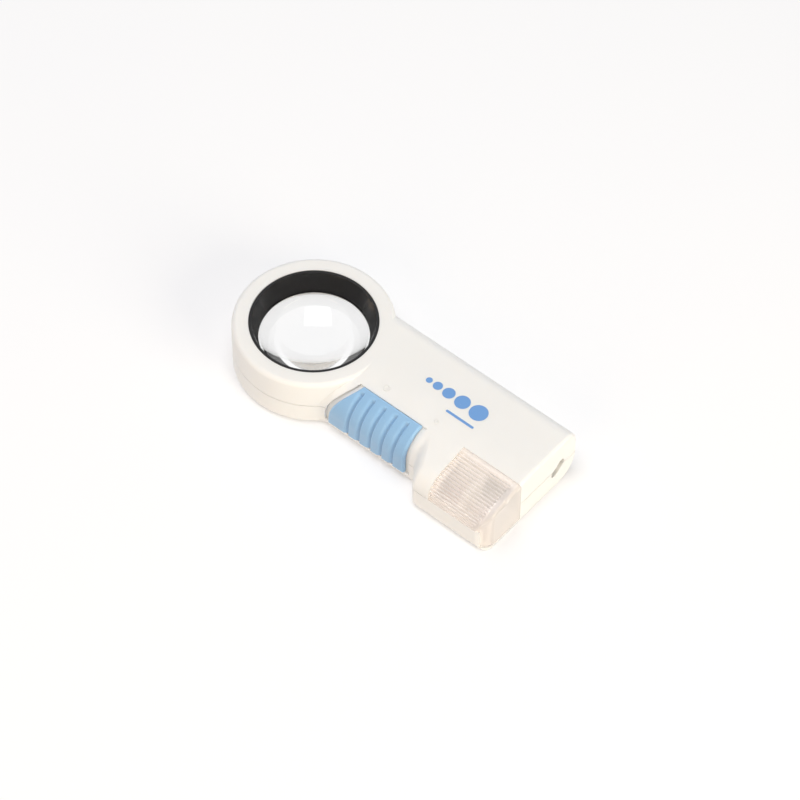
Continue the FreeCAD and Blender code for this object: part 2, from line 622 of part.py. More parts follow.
def switch_carrier():
    """Plate inside the wall, with the neck that reaches out to the pad."""
    (length, thick), (z0, z1), y0 = CARRIER, CARRIER_Z, CARRIER_Y
    plate = box(PAD_MID_X - length / 2, PAD_MID_X + length / 2, y0, y0 + thick, z0, z1)
    shape = plate.fuse(neck_prism(False))
    for i in (-1, 0, 1):
        start = V(PAD_MID_X + TRAVEL * i, y0 - AIR, z0)
        shape = shape.cut(Part.makeCylinder(NOTCH_R, thick + 2 * AIR, start, V(0, 1, 0)))
    return shape.removeSplitter()


def switch_wiper():
    """Sprung brass bridge on the carrier that rides on the board's contacts."""
    (half, tall, thick), (place, foot_half, foot_tall) = WIPER, WIPER_FOOT
    y0, y1, z = CARRIER_Y + CARRIER[1], BOARD_FACE_Y - AIR, WIPER_Z
    shape = box(PAD_MID_X - half, PAD_MID_X + half, y0, y0 + thick, z - tall, z + tall)
    for s in (-1, 1):
        x = PAD_MID_X + s * place
        foot = box(x - foot_half, x + foot_half, y0, y1, z - foot_tall, z + foot_tall)
        shape = shape.fuse(foot)
    return shape.removeSplitter()


def circuit_board():
    board = box(*BOARD_X, BOARD_FACE_Y, BOARD_Y, *BOARD_Z)
    x, z, r = BOARD_HOLE
    return board.cut(Part.makeCylinder(r, 2 * MARGIN, V(x, BOARD_Y - MARGIN, z), V(0, 1, 0)))


def switch_contacts():
    """Four strips on the board; the wiper joins two at a time."""
    (thick, tall), y1, z = STRIP, BOARD_FACE_Y, WIPER_Z
    strips = []
    for x0, x1 in STRIPS:
        strips.append(box(PAD_MID_X + x0, PAD_MID_X + x1, y1 - thick, y1, z - tall, z + tall))
    return Part.makeCompound(strips)


def resistors():
    x0, x1, r = RESISTOR
    return Part.makeCompound([rod(r, x0, x1, BOARD_FACE_Y - r, z) for z in RESISTOR_Z])


def detent_spring():
    """Bent leaf under the carrier that clicks into its three notches."""
    half, width, thick = LEAF
    y0, z = CARRIER_Y + 2 * FIT, CARRIER_Z[0] - 4 * AIR
    leaf = box(PAD_MID_X - half, PAD_MID_X + half, y0, y0 + width, z, z + thick)
    bump = Part.makeCylinder(LEAF_BUMP_R, width, V(PAD_MID_X, y0, z + AIR - FIT), V(0, 1, 0))
    return leaf.fuse(bump.common(slab(z + 2 * FIT, z + MARGIN))).removeSplitter()


def cell(x_nub, toward, y):
    """One cell with its nub at x_nub; toward is -1 when the nub faces the lens."""
    r, nub_r, nub_h = CELL_R, CELL_NUB[0], CELL_NUB[1]
    a, b = x_nub, x_nub - toward * CELL_LENGTH
    lo, hi = min(a, b), max(a, b)
    if toward < 0:
        return rod(nub_r, lo, lo + nub_h, y, CELL_Z).fuse(rod(r, lo + nub_h, hi, y, CELL_Z))
    return rod(nub_r, hi - nub_h, hi, y, CELL_Z).fuse(rod(r, lo, hi - nub_h, y, CELL_Z))


def contact_plate(x, y, half):
    return box(x, x + PLATE_T, y - half, y + half, *PLATE_Z)


def spring(x0, x1, y):
    """Tapered coil between a contact plate and the flat end of a cell."""
    length = x1 - x0 - 2 * SPRING_WIRE_R
    steps = int(SPRING_TURNS * 8)

    def at(i):
        t = i / steps
        a = 2 * math.pi * SPRING_TURNS * t
        r = SPRING_R[0] + (SPRING_R[1] - SPRING_R[0]) * t
        x = x0 + SPRING_WIRE_R + length * t
        return V(x, y + r * math.cos(a), CELL_Z + r * math.sin(a))

    path = Part.BSplineCurve()
    path.interpolate([at(i) for i in range(steps + 1)])
    loop = Part.Wire(Part.makeCircle(SPRING_WIRE_R, at(0), path.tangent(0.0)[0]))
    return Part.Wire(path.toShape()).makePipeShell([loop], True, False)


def battery_door():
    """Floor panel with hook tabs at the head end and finger grooves at the tail end."""
    panel = skin(DOOR_FLUSH, DOOR_FLUSH + DOOR_T, door_prism(DOOR_GAP))
    near = NEAR_CELL_Y - CELL_R - CELL_GAP + DOOR_GAP
    (reach, root, thick), x0 = TAB, DOOR_X[0]
    for y0, width in zip((BAY_MID_Y - TAB_WIDTHS[0] / 2.0, near + BOND), TAB_WIDTHS):
        low = WALL + AIR
        tab = box(x0 - reach, x0 + root, y0, y0 + width, low, low + thick)
        stem = box(x0, x0 + root, y0, y0 + width, DOOR_FLUSH + AIR, low + BOND)
        panel = panel.fuse(tab.fuse(stem))
    r, length = GRIP_GROOVE
    for i in range(3):
        x = DOOR_X[1] - 4 * r - GRIP_GROOVE_PITCH * i
        start = V(x, BAY_MID_Y - length / 2.0, -2 * FIT)
        panel = panel.cut(Part.makeCylinder(r, length, start, V(0, 1, 0)))
    return panel.removeSplitter()


def shell_screws():
    group = []
    for x, y in SCREWS:
        z = SCREW_SINK
        cap = post(SCREW_HEAD[0], x, y, z, z + SCREW_HEAD[1])
        shank = post(SCREW_R, x, y, z, z + SCREW_HEAD[1] + SCREW_LENGTH)
        arm, half, depth = SCREW_CROSS
        cross = box(x - arm, x + arm, y - half, y + half, 0, z + depth)
        cross = cross.fuse(box(x - half, x + half, y - arm, y + arm, 0, z + depth))
        group.append(cap.fuse(shank).cut(cross))
    return Part.makeCompound(group)


def wire(points, r, bend):
    """Round lead along straight runs joined by tangent arcs of one bend radius."""
    pts = [V(*p) for p in points]
    edges, last = [], pts[0]
    for before, here, after in zip(pts, pts[1:], pts[2:]):
        u, w = (before - here).normalize(), (after - here).normalize()
        half = math.acos(max(-1.0, min(1.0, u.dot(w)))) / 2.0
        cut = bend / math.tan(half)
        a, b = here + u * cut, here + w * cut
        mid_dir = (u + w).normalize()
        middle = here + mid_dir * (bend / math.sin(half) - bend)
        edges.append(line(last, a))
        edges.append(Part.Arc(a, middle, b).toShape())
        last = b
    edges.append(line(last, pts[-1]))
    path = Part.Wire(edges)
    loop = Part.Wire(Part.makeCircle(r, pts[0], pts[1] - pts[0]))
    return path.makePipeShell([loop], True, False)


def reading_led_wires():
    tip, aim = reading_axis()
    base = tip + aim * READING_LED_LENGTH
    group, end, r = [], BOARD_FACE_Y - AIR, READING_LEAD_R
    turn_y = NEAR_CELL_Y - CONTACT_RIB_REACH - 2 * BOND
    for s, step, z in READING_LEADS:
        x = BAY_X - PLATE_T - CONTACT_RIB_T - step
        y, rise = base.y + s * SLEEVE_T, base.z + AIR
        group.append(wire([(base.x - 2 * FIT, y, rise), (x, y, rise + step * AIR),
                           (x, turn_y, z), (x + 2.2, end - 2.8 * r, z),
                           (BOARD_X[0] + 1.3, end, z)], r, r))
    return Part.makeCompound(group)


def flashlight_led_wires():
    y, z = LAMP_AXIS
    group = []
    for s in (-1, 1):
        leg, high = z + s * LED_R / 2.0, z + s * LED_R
        end = (BOARD_X[1] - 1.5, BOARD_FACE_Y - AIR, high)
        group.append(wire([(LED_BASE_X, y, leg), (LED_BASE_X - MARGIN, y, leg),
                           (BOARD_X[1] + 2.5, end[1] - 4 * LAMP_LEAD_R, high), end],
                          LAMP_LEAD_R, LEAD_BEND))
    return Part.makeCompound(group)


def main():
    os.makedirs("parts", exist_ok=True)
    upper, lower = shells()
    plate_half = CELL_R - PLATE_SIDE
    nub_end = BAY_END_X
    save("upper_shell", upper_shell(upper))
    save("lower_shell", lower_shell(lower))
    save("lens_bezel", lens_bezel())
    save("lens", lens())
    save("lens_retainer", lens_retainer())
    save("lamp_cover", lamp_cover())
    save("reflector", reflector())
    save("flashlight_led", flashlight_led())
    save("led_holder", led_holder())
    save("reading_led", reading_led())
    save("reading_led_sleeve", reading_led_sleeve())
    save("grip_pad", grip_pad())
    save("switch_carrier", switch_carrier())
    save("switch_wiper", switch_wiper())
    save("circuit_board", circuit_board())
    save("switch_contacts", switch_contacts())
    save("resistors", resistors())
    save("detent_spring", detent_spring())
    save("battery_1", cell(BAY_X, -1, FAR_CELL_Y))
    save("battery_2", cell(nub_end, 1, NEAR_CELL_Y))
    save("positive_contact", contact_plate(BAY_X - PLATE_T, FAR_CELL_Y, plate_half))
    save("negative_contact", contact_plate(BAY_X - PLATE_T, NEAR_CELL_Y, plate_half))
    save("bridge_contact", contact_plate(nub_end, BAY_MID_Y, CELL_PITCH - PLATE_SIDE))
    far_spring = spring(BAY_X + CELL_LENGTH, nub_end, FAR_CELL_Y)
    near_spring = spring(BAY_X, nub_end - CELL_LENGTH, NEAR_CELL_Y)
    save("battery_springs", Part.makeCompound([far_spring, near_spring]))
    save("battery_door", battery_door())
    save("shell_screws", shell_screws())
    save("strap_bar", strap_bar())
    save("reading_led_wires", reading_led_wires())
    save("flashlight_led_wires", flashlight_led_wires())


main()
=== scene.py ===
import math

import bmesh
import bpy
from mathutils import Matrix, Vector


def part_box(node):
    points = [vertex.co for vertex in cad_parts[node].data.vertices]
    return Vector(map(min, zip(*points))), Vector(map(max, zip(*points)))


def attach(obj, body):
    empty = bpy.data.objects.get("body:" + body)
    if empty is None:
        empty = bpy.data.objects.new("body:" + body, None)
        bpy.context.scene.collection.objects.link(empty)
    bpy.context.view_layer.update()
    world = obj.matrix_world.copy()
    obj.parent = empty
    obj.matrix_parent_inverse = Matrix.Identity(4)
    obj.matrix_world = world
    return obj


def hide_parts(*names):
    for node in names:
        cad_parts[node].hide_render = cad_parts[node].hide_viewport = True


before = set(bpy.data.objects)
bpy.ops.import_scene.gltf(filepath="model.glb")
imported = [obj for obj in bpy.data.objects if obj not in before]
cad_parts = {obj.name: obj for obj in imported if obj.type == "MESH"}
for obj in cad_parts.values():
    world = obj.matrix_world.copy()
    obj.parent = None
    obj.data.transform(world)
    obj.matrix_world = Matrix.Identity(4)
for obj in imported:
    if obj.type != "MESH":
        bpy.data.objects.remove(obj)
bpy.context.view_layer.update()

MM = 0.001

# ---- housing sizes, in millimetres
BODY_H = 19.0
SEAM_Z = 8.6
GRIP_Y, GRIP_ROUND_R = -17.7, 9.5
LAMP_Y, LAMP_ROUND_R = -24.2, 7.5
NEAR_BOTTOM_R = 2.5
SLOPE_Y, SLOPE_DEG, SLOPE_BEND_R = -4.0, 10.0, 60.0
TAIL_X, TAIL_CORNER_R, TAIL_EDGE_R = 89.8, 4.5, 1.2
LAMP_AXIS_Y, LAMP_AXIS_Z = -15.9, 8.8
LENS_RIM = (9.9, 12.0)       # bottom and top of the lens's edge band
COVER_T = 1.4
COVER_GAP = 0.1
CAP_END_X = 87.1             # the cap's end wall starts here
CAP_SMOOTH_X = 86.8          # and its surface is smooth from here
PAD_HEAD_R, PAD_HEAD_Z = 15.5, 5.0
RIB_PITCH, RIB_FIRST, RIB_LEAN, RIB_COUNT = 4.5, 3.7, 0.06, 5
INK_T = 0.02                 # how far the print stands on the shell
DOTS_X, DOTS_Y, DOT_GAP = 41.6, 5.4, 0.75
DOT_RADII = (1.1, 1.6, 2.1, 2.6, 3.1)
UNDERLINE = (54.6, 64.6, -0.2, 0.45)         # its two ends along X, its Y and half its width
SYMBOL_Y, SYMBOL_LINE = -5.4, 0.22
LENS_SYMBOL_X, LENS_SYMBOL_R = 34.5, 1.0
LAMP_SYMBOL_X, LAMP_SYMBOL_R = 54.6, 0.6

# ---- studio light
LIGHT_DISTANCE, LOW_LIGHT_DEG = 1.2, 45.0    # lights under LOW_LIGHT_DEG show in reflections
FILL_COLOUR, FILL_STRENGTH = (0.89, 0.92, 1.0), 0.305
LIGHTS = [                   # name, azimuth, elevation, size, power and colour
    ("top_light", 220.0, 83.0, 0.8, 8.6, (0.985, 0.99, 1.0)),
    ("near_light", -80.0, 22.0, 0.7, 3.15, (1.0, 0.70, 0.38)),
    ("tail_light", -5.0, 20.0, 0.7, 8.4, (1.0, 0.915, 0.73)),
]


# ---------------------------------------------------------------- camera
def aim_camera():
    """Long lens above the near side, a little rolled."""
    azimuth, elevation, roll = (math.radians(d) for d in (39.93, 52.33, 0.42))
    target, distance = Vector((0.0361, -0.0008, 0.0095)), 1.246
    back = Vector((math.sin(azimuth) * math.cos(elevation),
                   -math.cos(azimuth) * math.cos(elevation), math.sin(elevation)))
    right = Vector((math.cos(azimuth), math.sin(azimuth), 0.0))
    up = back.cross(right)
    tilted_right = right * math.cos(roll) + up * math.sin(roll)
    tilted_up = up * math.cos(roll) - right * math.sin(roll)
    data = bpy.data.cameras.new("camera")
    data.lens, data.sensor_width = 180.0, 36.0
    data.clip_start, data.clip_end = 0.01, 20.0
    camera = bpy.data.objects.new("camera", data)
    turn = Matrix((tilted_right, tilted_up, back)).transposed().to_4x4()
    camera.matrix_world = Matrix.Translation(target + back * distance) @ turn
    bpy.context.scene.collection.objects.link(camera)
    bpy.context.scene.camera = camera


# ---------------------------------------------------------------- mesh helpers
def new_piece(name, verts, faces, sharp_deg=35.0):
    mesh = bpy.data.meshes.new(name)
    mesh.from_pydata([Vector(v) * MM for v in verts], [], faces)
    mesh.validate()
    mesh.shade_smooth()
    mesh.set_sharp_from_angle(angle=math.radians(sharp_deg))
    piece = bpy.data.objects.new(name, mesh)
    bpy.context.scene.collection.objects.link(piece)
    return piece


def turned(name, profile, centre=(0.0, 0.0), axis="z", steps=160, sharp_deg=35.0, closed=True):
    """Solid turned from (radius, along) points about Z, or about X at centre (y, z)."""
    verts, faces = [], []
    n = len(profile)
    for i in range(steps):
        a = 2 * math.pi * i / steps
        c, s = math.cos(a), math.sin(a)
        for r, along in profile:
            if axis == "z":
                verts.append((centre[0] + r * c, centre[1] + r * s, along))
            else:
                verts.append((along, centre[0] + r * c, centre[1] + r * s))
    for i in range(steps):
        j = (i + 1) % steps
        for k in range(n if closed else n - 1):
            m = (k + 1) % n
            faces.append((i * n + k, j * n + k, j * n + m, i * n + m))
    piece = new_piece(name, verts, faces, sharp_deg)
    weld(piece, sharp_deg)
    return piece


def weld(piece, sharp_deg, distance=2e-6):
    """Joins doubled points, faces the normals outwards and marks the sharp edges."""
    bm = bmesh.new()
    bm.from_mesh(piece.data)
    bmesh.ops.remove_doubles(bm, verts=bm.verts, dist=distance)
    bmesh.ops.dissolve_degenerate(bm, edges=bm.edges, dist=1e-7)
    bmesh.ops.recalc_face_normals(bm, faces=bm.faces)
    bm.to_mesh(piece.data)
    bm.free()
    piece.data.shade_smooth()
    piece.data.set_sharp_from_angle(angle=math.radians(sharp_deg))


def twin_sheet(name, outer, inner, sharp_deg=40.0):
    """Closed shell between two sheets of points with the same rows and columns."""
    rows, cols = len(outer), len(outer[0])
    verts = [p for row in outer for p in row] + [p for row in inner for p in row]
    half = rows * cols
    faces = []
    for i in range(rows - 1):
        for j in range(cols - 1):
            a, b, c, d = i * cols + j, i * cols + j + 1, (i + 1) * cols + j + 1, (i + 1) * cols + j
            faces.append((a, b, c, d))
            faces.append((half + d, half + c, half + b, half + a))
    rim = [(0, j) for j in range(cols)] + [(i, cols - 1) for i in range(1, rows)]
    rim += [(rows - 1, j) for j in range(cols - 2, -1, -1)] + [(i, 0) for i in range(rows - 2, 0, -1)]
    for (i, j), (k, l) in zip(rim, rim[1:] + rim[:1]):
        p, q = i * cols + j, k * cols + l
        faces.append((q, p, half + p, half + q))
    piece = new_piece(name, verts, faces, sharp_deg)
    weld(piece, sharp_deg)
    return piece


def smooth_step(t):
    t = min(max(t, 0.0), 1.0)
    return t * t * (3 - 2 * t)


def side_curve(near_y, near_r):
    """The near side of the handle across X, from the flat top over the rounding and down:
    a function from the distance along it to (y, z, outward y, outward z)."""
    slope, square = math.radians(SLOPE_DEG), math.pi / 2
    reach = SLOPE_BEND_R * math.tan(slope / 2)
    corner_z = BODY_H - (SLOPE_Y - near_y) * math.tan(slope)
    t = near_r * math.tan((square - slope) / 2)
    bent = (SLOPE_Y - reach * math.cos(slope), BODY_H - reach * math.sin(slope))
    start = (near_y + t * math.cos(slope), corner_z + t * math.sin(slope))
    bends = [(SLOPE_Y + reach, BODY_H - SLOPE_BEND_R, SLOPE_BEND_R, square, slope),
             (near_y + near_r, corner_z - t, near_r, square + slope, square - slope),
             (near_y + NEAR_BOTTOM_R, NEAR_BOTTOM_R, NEAR_BOTTOM_R, math.pi, square)]
    straights = [(*bent, square + slope, math.dist(bent, start)),
                 (near_y, corner_z - t, math.pi, corner_z - t - NEAR_BOTTOM_R)]

    def at(s):
        for k, (cy, cz, r, begin, turn) in enumerate(bends):
            if s <= r * turn or k == 2:
                a = begin + s / r
                return cy + r * math.cos(a), cz + r * math.sin(a), math.cos(a), math.sin(a)
            s -= r * turn
            y, z, facing, length = straights[k]
            if s <= length:
                ny, nz = math.cos(facing), math.sin(facing)
                return y - nz * s, z + ny * s, ny, nz
            s -= length

    return at


def reach_y(at, y):
    """Distance along the curve at which it comes down to this y."""
    return first_past(lambda s: at(s)[0] <= y)


def reach_z(at, z):
    return first_past(lambda s: at(s)[1] <= z)


def first_past(test):
    low, high = 0.0, 60.0
    while high - low > 1e-4:
        mid = (low + high) / 2
        low, high = (low, mid) if test(mid) else (mid, high)
    return high


def top_height(y):
    """Height of the handle's top surface at this y."""
    at = side_curve(GRIP_Y, GRIP_ROUND_R)
    flat_to = SLOPE_Y + SLOPE_BEND_R * math.tan(math.radians(SLOPE_DEG) / 2)
    return BODY_H if y >= flat_to else at(reach_y(at, y))[1]


# ---------------------------------------------------------------- lens head
def make_lens():
    """Double convex lens, thick and polished."""
    low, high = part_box("lens")
    edge, view_r = high.x / MM, 17.4
    rim_low, rim_high = LENS_RIM
    rise, drop = high.z / MM - rim_high, rim_low - low.z / MM
    profile = []
    for z, h, sign in ((rim_low, drop, -1.0), (rim_high, rise, 1.0)):
        ball = (view_r ** 2 + h ** 2) / (2 * h)
        span = math.asin(view_r / ball)
        arc = []
        for k in range(33):
            a = span * k / 32
            arc.append((ball * math.sin(a), z + sign * (ball * math.cos(a) - ball + h)))
        if sign > 0:
            arc.reverse()
            profile += [(edge - 0.25, rim_high), (view_r + 0.3, rim_high)] + arc
        else:
            profile += arc + [(view_r + 0.3, rim_low), (edge - 0.25, rim_low),
                              (edge, rim_low + 0.25), (edge, rim_high - 0.25)]
    lens = turned("lens_clear", profile, steps=192, closed=False)
    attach(lens, "housing")
    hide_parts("lens")
    return lens


def make_bezel():
    """Black cone with a rounded lip, running straight down to a seat for the lens."""
    low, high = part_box("lens_bezel")
    r, top, bottom = high.x / MM, high.z / MM, low.z / MM
    lip, view_r, seat_r, seat_z = r - 0.9, 17.6, 19.3, LENS_RIM[1]
    profile = [(r, bottom), (r, top - 0.15), (r - 0.06, top - 0.04), (r - 0.16, top)]
    profile += [(lip + 0.12, top), (lip + 0.03, top - 0.05), (lip, top - 0.16)]
    cone_top, cone_low = top - 0.3, seat_z + 0.6
    for k in range(25):
        t = k / 24
        profile.append((lip - 0.03 + (view_r + 0.03 - lip) * t, cone_top + (cone_low - cone_top) * t))
    profile += [(view_r, seat_z + 0.1), (view_r + 0.1, seat_z), (seat_r, seat_z), (seat_r, bottom)]
    bezel = turned("lens_ring", profile, steps=192)
    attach(bezel, "housing")
    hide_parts("lens_bezel")
    return bezel


# ---------------------------------------------------------------- grip pad
def make_grip_pad():
    """Soft pad with rounded ribs between grooves that end round near its top edge."""
    low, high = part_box("grip_pad")
    end_x, top_y, bottom_z = high.x / MM, high.y / MM, low.z / MM
    head_x = low.x / MM
    at = side_curve(GRIP_Y, GRIP_ROUND_R)
    s0, s1 = reach_y(at, top_y), reach_z(at, bottom_z)
    proud, sunk, edge_r = 0.9, -0.6, 0.7
    pitch, first = RIB_PITCH, end_x - RIB_FIRST
    rows, cols = 110, 300
    outer, inner = [], []
    for i in range(rows + 1):
        s = s0 + (s1 - s0) * i / rows
        y, z, ny, nz = at(s)
        dz = max(z - PAD_HEAD_Z, 0.0)
        left = head_x + PAD_HEAD_R - math.sqrt(max(PAD_HEAD_R ** 2 - dz ** 2, 0.0))
        begin = smooth_step((s - s0 - 1.3) / 1.5)
        shift = RIB_LEAN * (BODY_H - z)
        o_row, i_row = [], []
        for j in range(cols + 1):
            x = left + (end_x - left) * j / cols
            to_edge = min(s - s0, s1 - s, x - left, end_x - x)
            inset = max(edge_r - to_edge, 0.0)
            fall = edge_r - math.sqrt(max(edge_r ** 2 - inset ** 2, 0.0))
            nth = round((first - shift - x) / pitch)
            nth = min(max(nth, 0), RIB_COUNT - 1)
            off = x - (first - shift - nth * pitch)
            width = 0.95 if off < 0 else 0.28
            groove = 0.95 * math.exp(-(off / width) ** 2) * begin
            h = proud - 0.02 - groove - fall
            o_row.append((x, y + ny * h, z + nz * h))
            i_row.append((x, y + ny * sunk, z + nz * sunk))
        outer.append(o_row)
        inner.append(i_row)
    pad = twin_sheet("grip_pad_soft", outer, inner, sharp_deg=60.0)
    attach(pad, "switch")
    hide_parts("grip_pad")
    return pad


# ---------------------------------------------------------------- lamp cover
def make_lamp_cover():
    """Clear cap with ridges along its top and side and a smooth end window."""
    low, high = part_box("lamp_cover")
    x0, y_top, z_seam = low.x / MM, high.y / MM, SEAM_Z + COVER_GAP
    z_low, thick = low.z / MM, COVER_T
    at = side_curve(LAMP_Y, LAMP_ROUND_R)
    s0, s1 = reach_y(at, y_top), reach_z(at, z_seam)
    ridges, band, depth = 16, 1.9, 0.5
    ridge_w = (s1 - s0 - band - 0.5) / ridges
    per = 10
    stops = [s0 + band * k / 4 for k in range(4)]
    stops += [s0 + band + ridge_w * k / per for k in range(ridges * per)]
    stops += [s1 - 0.5, s1 - 0.25, s1]
    cx, cy = TAIL_X - TAIL_CORNER_R, LAMP_Y + TAIL_CORNER_R

    def end_of(y, inset=0.0):
        """Where the end face is at this y, and how squarely it faces the tail."""
        r = TAIL_CORNER_R - inset
        if y >= cy:
            return TAIL_X - inset, 1.0
        d = min((cy - y) / r, 1.0)
        return cx + r * math.sqrt(1 - d * d), math.sqrt(1 - d * d)

    outer, inner = [], []
    for s in stops:
        y, z, ny, nz = at(s)
        end, square = end_of(y)
        round_r = TAIL_EDGE_R * square
        ridge = 0.0
        if band <= s - s0 <= band + ridge_w * ridges:
            ridge = depth * (1 - abs(math.sin(math.pi * (s - s0 - band) / ridge_w)) ** 0.8)
        floor_z = z_low if end > CAP_END_X else z_seam
        o_row, i_row = [], []
        ridge_end = end - round_r - 0.9
        xs = [x0, x0 + 0.15] + [x0 + (ridge_end - 1.0 - x0) * k / 6 for k in range(1, 7)]
        xs += [ridge_end - 0.6, ridge_end - 0.3, ridge_end, (ridge_end + end - round_r) / 2]
        for x in xs:
            fade = 1.0 - smooth_step((x - ridge_end + 0.9) / 0.9)
            h = -ridge * fade
            o_row.append((x, y + ny * h, z + nz * h))
            ix = min(x, end - thick)
            i_row.append((ix, y - ny * thick, z - nz * thick))
        for k in range(7):
            a = math.radians(15.0 * k)
            dx, dn = round_r * (1 - math.sin(a)), round_r * (1 - math.cos(a))
            o_row.append((end - dx, y - ny * dn, z - nz * dn))
            iy = y - ny * thick
            i_row.append((end_of(iy, thick)[0], iy, z - nz * max(thick, dn)))
        top = z - nz * round_r
        yy = y - ny * round_r
        for k in range(1, 9):
            zz = top + (min(floor_z, top) - top) * k / 8
            o_row.append((end, yy, zz))
            iy = max(y - ny * thick, LAMP_Y + thick)
            i_row.append((end_of(iy, thick)[0], iy, min(zz, z - nz * thick)))
        outer.append(o_row)
        inner.append(i_row)
    cover = twin_sheet("lamp_cover_fluted", outer, inner, sharp_deg=50.0)
    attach(cover, "housing")
    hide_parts("lamp_cover")
    return cover


# ---------------------------------------------------------------- lamps and marks
def make_reflector():
    """Bright parabolic cup with a rolled rim."""
    low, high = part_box("reflector")
    y, z = LAMP_AXIS_Y, LAMP_AXIS_Z
    rear, front, r1 = low.x / MM, high.x / MM, high.y / MM - y
    throat, mouth, depth = 2.65, r1 - 0.6, front - 1.0 - rear
    bowl = [(throat + 0.02 + (mouth - throat) * math.sqrt(k / 24), rear + depth * k / 24)
            for k in range(25)]
    profile = bowl + [(mouth + 0.1, front - 0.05), (r1 - 0.1, front), (r1, front - 0.1), (r1, front - 0.7)]
    profile += [(min(r + 0.55, r1), x) for r, x in reversed(bowl) if x < front - 0.9]
    cup = turned("reflector_cup", profile, (y, z), "x", steps=96)
    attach(cup, "housing")
    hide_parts("reflector")
    return cup


def flat_print(name, outlines):
    """Thin printed patches that follow the top of the handle."""
    verts, faces = [], []
    for outline in outlines:
        centre = (sum(p[0] for p in outline) / len(outline), sum(p[1] for p in outline) / len(outline))
        first = len(verts)
        verts.append((*centre, top_height(centre[1]) + INK_T))
        verts += [(x, y, top_height(y) + INK_T) for x, y in outline]
        n = len(outline)
        faces += [(first, first + 1 + k, first + 1 + (k + 1) % n) for k in range(n)]
    mark = new_piece(name, verts, faces)
    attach(mark, "housing")
    return mark


def disc(x, y, r, steps=40):
    return [(x + r * math.cos(2 * math.pi * k / steps), y + r * math.sin(2 * math.pi * k / steps))
            for k in range(steps)]


def bar(x0, x1, y, half):
    """Rounded bar along X."""
    ends = []
    for centre, start in ((x1, -90), (x0, 90)):
        for k in range(9):
            a = math.radians(start + 22.5 * k)
            ends.append((centre + half * math.cos(a), y + half * math.sin(a)))
    return ends


def make_print():
    """Plain row of growing dots over a thin bar."""
    start, outlines = DOTS_X, []
    for r in DOT_RADII:
        outlines.append(disc(start + r, DOTS_Y, r))
        start += 2 * r + DOT_GAP
    outlines.append(bar(*UNDERLINE))
    return flat_print("growing_dots_print", outlines)


def raised_ring(name, x, r, height=0.12, steps=48):
    """Low moulded ring on the top of the handle."""
    y, width = SYMBOL_Y, SYMBOL_LINE
    section = [(r - width, -0.05), (r - width * 0.6, height), (r + width * 0.6, height), (r + width, -0.05)]
    verts, faces = [], []
    n = len(section)
    for k in range(steps):
        a = 2 * math.pi * k / steps
        for rr, h in section:
            px, py = x + rr * math.cos(a), y + rr * math.sin(a)
            verts.append((px, py, top_height(py) + h))
    for k in range(steps):
        m = (k + 1) % steps
        faces += [(k * n + i, m * n + i, m * n + i + 1, k * n + i + 1) for i in range(n - 1)]
    ring = new_piece(name, verts, faces, 60.0)
    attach(ring, "housing")
    return ring


# ---------------------------------------------------------------- stage
def make_stage():
    """Pale floor that keeps its shadows and shows white in the clear pieces and the metal."""
    mesh = bpy.data.meshes.new("floor")
    size = 3.0
    mesh.from_pydata([(-size, -size, 0), (size, -size, 0), (size, size, 0), (-size, size, 0)], [],
                     [(0, 1, 2, 3)])
    floor = bpy.data.objects.new("floor", mesh)
    floor.location.z = -0.00005
    bpy.context.scene.collection.objects.link(floor)
    mat = bpy.data.materials.new("pale_floor")
    mat.use_nodes = True
    tree = mat.node_tree
    shader = tree.nodes["Principled BSDF"]
    place = put(tree, "TexCoord").outputs["Object"]
    mottle = put(tree, "TexNoise", {"Vector": place, "Scale": 18.0, "Detail": 3.0})
    tone = put(tree, "MapRange", {"Value": mottle.outputs["Fac"], "To Min": 0.97, "To Max": 0.985})
    grey = put(tree, "CombineColor", {0: tone.outputs[0], 1: tone.outputs[0], 2: 0.99})
    tree.links.new(grey.outputs[0], shader.inputs["Base Color"])
    shader.inputs["Roughness"].default_value = 0.9
    shader.inputs["Specular IOR Level"].default_value = 0.0
    path = put(tree, "LightPath")
    through = put(tree, "Math", {0: path.outputs["Is Transmission Ray"], 1: path.outputs["Is Glossy Ray"]},
                  operation="MAXIMUM")
    shown = put(tree, "Math", {0: through.outputs[0], 1: 0.75}, operation="MULTIPLY")
    seen = put(tree, "Math", {0: path.outputs["Is Camera Ray"], 1: 0.3}, operation="MULTIPLY")
    amount = put(tree, "Math", {0: shown.outputs[0], 1: seen.outputs[0]}, operation="MAXIMUM")
    white = put(tree, "Emission", {"Color": (1, 1, 1, 1), "Strength": 1.0})
    mix = put(tree, "MixShader", {0: amount.outputs[0], 1: shader.outputs[0], 2: white.outputs[0]})
    tree.links.new(mix.outputs[0], tree.nodes["Material Output"].inputs["Surface"])
    mesh.materials.append(mat)


def make_world():
    """White for the camera, for reflections and through clear pieces; a softer fill lights the rest."""
    world = bpy.data.worlds.new("studio")
    bpy.context.scene.world = world
    world.use_nodes = True
    tree = world.node_tree
    tree.nodes.clear()
    fill = put(tree, "Background", {"Color": (*FILL_COLOUR, 1), "Strength": FILL_STRENGTH})
    white = put(tree, "Background", {"Color": (1, 1, 1, 1), "Strength": 1.0})
    path = put(tree, "LightPath")
    shown = path.outputs["Is Camera Ray"]
    for kind in ("Is Glossy Ray", "Is Transmission Ray"):
        shown = put(tree, "Math", {0: shown, 1: path.outputs[kind]}, operation="MAXIMUM").outputs[0]
    mix = put(tree, "MixShader", {0: shown, 1: fill.outputs[0], 2: white.outputs[0]})
    put(tree, "OutputWorld", {"Surface": mix.outputs[0]})


